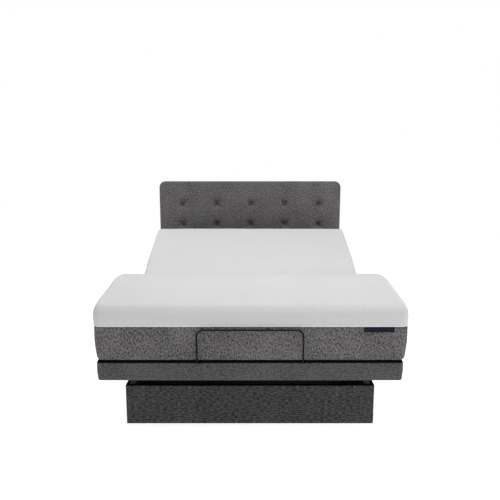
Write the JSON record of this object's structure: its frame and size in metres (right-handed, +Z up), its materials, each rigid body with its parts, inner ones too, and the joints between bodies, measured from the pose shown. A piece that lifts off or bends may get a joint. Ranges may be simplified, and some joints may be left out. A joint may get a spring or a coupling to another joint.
{
  "type": "adjustable bed",
  "caption": "Motor-driven adjustable bed: upholstered bending deck on a plinth, mattress with retainer bar, tufted headboard.",
  "frame": {"origin": "on the floor, under the middle of the whole bed's box, in the stored half-raised pose", "axes": "+X to the right seen from the foot end, +Y towards the headboard, +Z up"},
  "size_m": [1.524, 2.2004, 1.245],
  "materials": {
    "grey_upholstery": "matte",
    "plinth_fabric": "matte",
    "headboard_fabric": "matte",
    "mattress_cover": "matte",
    "plywood": "satin",
    "frame_steel": "satin",
    "bare_steel": "satin",
    "nylon": "satin",
    "black_plastic": "satin",
    "bar_steel": "satin"
  },
  "bodies": {
    "base": {"plinth_front_panel": "plinth_fabric", "plinth_rear_panel": "plinth_fabric", "plinth_left_panel": "plinth_fabric", "plinth_right_panel": "plinth_fabric", "frame_rail_left": "frame_steel", "frame_rail_right": "frame_steel", "crossbar_front": "frame_steel", "crossbar_rear": "frame_steel", "seat_crossbar": "frame_steel", "control_box": "black_plastic", "seat_deck_pad": "grey_upholstery", "seat_deck_board": "plywood", "head_hinge_leaf_seat": "frame_steel", "hip_hinge_leaf_seat": "frame_steel", "mattress_seat": "mattress_cover", "headboard_pad": "headboard_fabric", "headboard_back": "plinth_fabric", "headboard_leg_left": "frame_steel", "headboard_leg_right": "frame_steel", "headboard_arm_left": "frame_steel", "headboard_arm_right": "frame_steel"},
    "head_section": {"head_deck_pad": "grey_upholstery", "head_deck_board": "plywood", "head_hinge_leaf_head": "frame_steel", "head_lift_track_left": "frame_steel", "head_lift_track_right": "frame_steel", "mattress_head": "mattress_cover"},
    "thigh_section": {"thigh_deck_pad": "grey_upholstery", "thigh_deck_board": "plywood", "hip_hinge_leaf_thigh": "frame_steel", "knee_hinge_leaf_thigh": "frame_steel", "foot_lift_track_left": "frame_steel", "foot_lift_track_right": "frame_steel", "mattress_thigh": "mattress_cover"},
    "calf_section": {"calf_deck_pad": "grey_upholstery", "calf_deck_board": "plywood", "knee_hinge_leaf_calf": "frame_steel", "calf_link_bracket_left": "frame_steel", "calf_link_bracket_right": "frame_steel", "retainer_bar": "bar_steel", "mattress_foot": "mattress_cover"},
    "calf_links": {"calf_link_left": "frame_steel", "calf_link_right": "frame_steel"},
    "head_lift": {"head_torque_tube": "frame_steel", "head_lift_arm_left": "frame_steel", "head_lift_arm_right": "frame_steel", "head_lever": "frame_steel"},
    "foot_lift": {"foot_torque_tube": "frame_steel", "foot_lift_arm_left": "frame_steel", "foot_lift_arm_right": "frame_steel", "foot_lever": "frame_steel"},
    "head_roller_left": {"head_roller_left": "nylon"},
    "head_roller_right": {"head_roller_right": "nylon"},
    "foot_roller_left": {"foot_roller_left": "nylon"},
    "foot_roller_right": {"foot_roller_right": "nylon"},
    "head_actuator": {"head_actuator_body": "black_plastic"},
    "head_actuator_rod": {"head_actuator_rod": "bare_steel"},
    "foot_actuator": {"foot_actuator_body": "black_plastic"},
    "foot_actuator_rod": {"foot_actuator_rod": "bare_steel"}
  },
  "joints": [
    {"name": "head", "type": "hinge", "parent": "base", "child": "head_section", "pos_m": [0, 0.19955, 0.321], "axis": [1, 0, 0], "range_deg": [-18.5, 41.5], "deforming": ["mattress_head", "mattress_seat"]},
    {"name": "thigh", "type": "hinge", "parent": "base", "child": "thigh_section", "pos_m": [0, -0.18545, 0.321], "axis": [-1, 0, 0], "range_deg": [-20.2, 19.8], "deforming": ["mattress_thigh"]},
    {"name": "knee", "type": "hinge", "parent": "thigh_section", "child": "calf_section", "pos_m": [0, -0.61939, 0.38689], "axis": [1, 0, 0], "range_deg": [-25.11, 24.61], "deforming": ["mattress_foot"]},
    {"name": "head_lift", "type": "hinge", "parent": "base", "child": "head_lift", "pos_m": [0, 0.19955, 0.13], "axis": [1, 0, 0], "range_deg": [-14.75, 33.07]},
    {"name": "foot_lift", "type": "hinge", "parent": "base", "child": "foot_lift", "pos_m": [0, -0.18545, 0.13], "axis": [-1, 0, 0], "range_deg": [-15.84, 15.53]},
    {"name": "calf_links", "type": "hinge", "parent": "base", "child": "calf_links", "pos_m": [0, -0.33845, 0.191], "axis": [-1, 0, 0], "range_deg": [-21.02, 20.6]},
    {"name": "head_actuator_pivot", "type": "hinge", "parent": "base", "child": "head_actuator", "pos_m": [-0.1, -0.51545, 0.055], "axis": [1, 0, 0], "range_deg": [-0.127, 0.271]},
    {"name": "head_actuator_stroke", "type": "slide", "parent": "head_actuator", "child": "head_actuator_rod", "axis": [0, 1, -0.0066], "range_m": [-0.02028, 0.04525]},
    {"name": "foot_actuator_pivot", "type": "hinge", "parent": "base", "child": "foot_actuator", "pos_m": [0.1, 0.49955, 0.055], "axis": [-1, 0, 0], "range_deg": [-0.077, 0.075]},
    {"name": "foot_actuator_stroke", "type": "slide", "parent": "foot_actuator", "child": "foot_actuator_rod", "axis": [0, -1, -0.0072], "range_m": [-0.02206, 0.02163]},
    {"name": "head_roller_left_spin", "type": "hinge", "parent": "head_lift", "child": "head_roller_left", "pos_m": [-0.382, 0.61176, 0.31051], "axis": [1, 0, 0], "continuous": true},
    {"name": "head_roller_right_spin", "type": "hinge", "parent": "head_lift", "child": "head_roller_right", "pos_m": [0.382, 0.61176, 0.31051], "axis": [1, 0, 0], "continuous": true},
    {"name": "foot_roller_left_spin", "type": "hinge", "parent": "foot_lift", "child": "foot_roller_left", "pos_m": [-0.442, -0.44716, 0.27666], "axis": [1, 0, 0], "continuous": true},
    {"name": "foot_roller_right_spin", "type": "hinge", "parent": "foot_lift", "child": "foot_roller_right", "pos_m": [0.442, -0.44716, 0.27666], "axis": [1, 0, 0], "continuous": true}
  ],
  "couplings": [
    {"joint": "knee", "follows": "thigh", "ratio": 1.2426},
    {"joint": "head_lift", "follows": "head", "ratio": 0.79671},
    {"joint": "foot_lift", "follows": "thigh", "ratio": 0.78371},
    {"joint": "calf_links", "follows": "thigh", "ratio": 1.04},
    {"joint": "head_actuator_pivot", "follows": "head", "ratio": 0.0063},
    {"joint": "head_actuator_stroke", "follows": "head", "m_per_rad": 0.0622},
    {"joint": "foot_actuator_pivot", "follows": "thigh", "ratio": 0.0033},
    {"joint": "foot_actuator_stroke", "follows": "thigh", "m_per_rad": 0.062}
  ]
}
